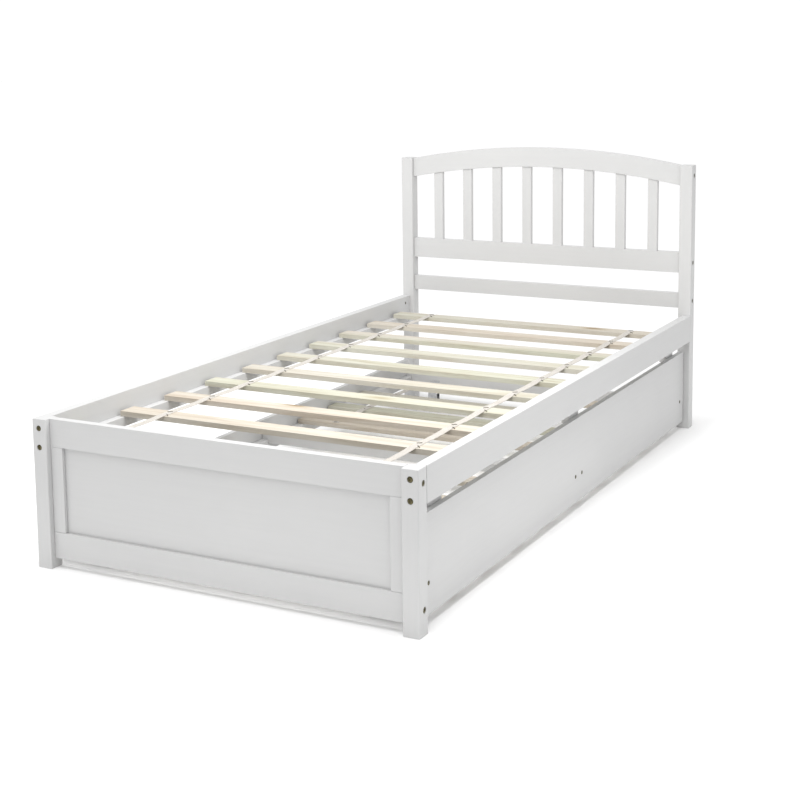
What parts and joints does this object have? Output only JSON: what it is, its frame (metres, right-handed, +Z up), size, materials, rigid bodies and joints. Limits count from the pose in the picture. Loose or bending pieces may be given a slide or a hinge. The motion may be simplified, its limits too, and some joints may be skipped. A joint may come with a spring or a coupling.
{
  "type": "trundle bed",
  "caption": "Single slatted bed with an arched spindle headboard and a panelled footboard, with a slatted trundle on fixed casters that rolls out from under one side.",
  "frame": {"origin": "on the floor, at the centre of the bed footprint", "axes": "+X is the side the trundle rolls out of, +Y points from the footboard to the headboard, +Z is up"},
  "size_m": [1.06, 2.018, 0.918],
  "materials": {
    "white_paint": "satin white paint on smooth solid wood",
    "pale_pine": "planed, unfinished pale pine",
    "webbing": "woven narrow tape, off-white",
    "zinc_steel": "bright zinc plated",
    "wheel_plastic": "moulded dark grey plastic",
    "bolt_bronze": "dark yellow passivated fasteners"
  },
  "bodies": {
    "bed_frame": {"footboard_post_left": "white_paint", "footboard_post_right": "white_paint", "footboard_top_rail": "white_paint", "footboard_bottom_rail": "white_paint", "footboard_stile_left": "white_paint", "footboard_stile_right": "white_paint", "footboard_panel": "white_paint", "headboard_post_left": "white_paint", "headboard_post_right": "white_paint", "headboard_arched_rail": "white_paint", "headboard_middle_rail": "white_paint", "headboard_lower_rail": "white_paint", "headboard_spindle_1": "white_paint", "headboard_spindle_2": "white_paint", "headboard_spindle_3": "white_paint", "headboard_spindle_4": "white_paint", "headboard_spindle_5": "white_paint", "headboard_spindle_6": "white_paint", "headboard_spindle_7": "white_paint", "headboard_spindle_8": "white_paint", "side_rail_left": "white_paint", "side_rail_right": "white_paint", "slat_cleat_left": "white_paint", "slat_cleat_right": "white_paint", "trundle_stop_foot": "white_paint", "trundle_stop_middle": "white_paint", "trundle_stop_head": "white_paint", "bed_slat_1": "pale_pine", "bed_slat_2": "pale_pine", "bed_slat_3": "pale_pine", "bed_slat_4": "pale_pine", "bed_slat_5": "pale_pine", "bed_slat_6": "pale_pine", "bed_slat_7": "pale_pine", "bed_slat_8": "pale_pine", "bed_slat_9": "pale_pine", "bed_slat_10": "pale_pine", "slat_webbing_left": "webbing", "slat_webbing_right": "webbing"},
    "trundle": {"trundle_front_panel": "white_paint", "trundle_back_board": "white_paint", "trundle_cross_rail": "white_paint", "trundle_end_board_foot": "white_paint", "trundle_end_board_head": "white_paint", "trundle_ledger_front": "white_paint", "trundle_ledger_back": "white_paint", "trundle_slat_roll_foot": "pale_pine", "trundle_slat_roll_head": "pale_pine", "caster_bracket_front_foot": "zinc_steel", "caster_bracket_back_foot": "zinc_steel", "caster_bracket_front_head": "zinc_steel", "caster_bracket_back_head": "zinc_steel", "caster_axle_front_foot": "zinc_steel", "caster_axle_back_foot": "zinc_steel", "caster_axle_front_head": "zinc_steel", "caster_axle_back_head": "zinc_steel"},
    "wheel_front_foot": {"caster_wheel_front_foot": "wheel_plastic"},
    "wheel_back_foot": {"caster_wheel_back_foot": "wheel_plastic"},
    "wheel_front_head": {"caster_wheel_front_head": "wheel_plastic"},
    "wheel_back_head": {"caster_wheel_back_head": "wheel_plastic"}
  },
  "joints": [
    {"name": "trundle_slide", "type": "slide", "parent": "bed_frame", "child": "trundle", "axis": [1, 0, 0], "range_m": [0, 0.95]},
    {"name": "wheel_spin_front_foot", "type": "hinge", "parent": "trundle", "child": "wheel_front_foot", "pos_m": [0.38, -0.9074, 0.02], "axis": [0, 1, 0], "continuous": true},
    {"name": "wheel_spin_back_foot", "type": "hinge", "parent": "trundle", "child": "wheel_back_foot", "pos_m": [-0.38, -0.9074, 0.02], "axis": [0, 1, 0], "continuous": true},
    {"name": "wheel_spin_front_head", "type": "hinge", "parent": "trundle", "child": "wheel_front_head", "pos_m": [0.38, 0.9074, 0.02], "axis": [0, 1, 0], "continuous": true},
    {"name": "wheel_spin_back_head", "type": "hinge", "parent": "trundle", "child": "wheel_back_head", "pos_m": [-0.38, 0.9074, 0.02], "axis": [0, 1, 0], "continuous": true}
  ],
  "couplings": [
    {"joint": "wheel_spin_front_foot", "follows": "trundle_slide", "rad_per_m": 50},
    {"joint": "wheel_spin_back_foot", "follows": "trundle_slide", "rad_per_m": 50},
    {"joint": "wheel_spin_front_head", "follows": "trundle_slide", "rad_per_m": 50},
    {"joint": "wheel_spin_back_head", "follows": "trundle_slide", "rad_per_m": 50}
  ]
}
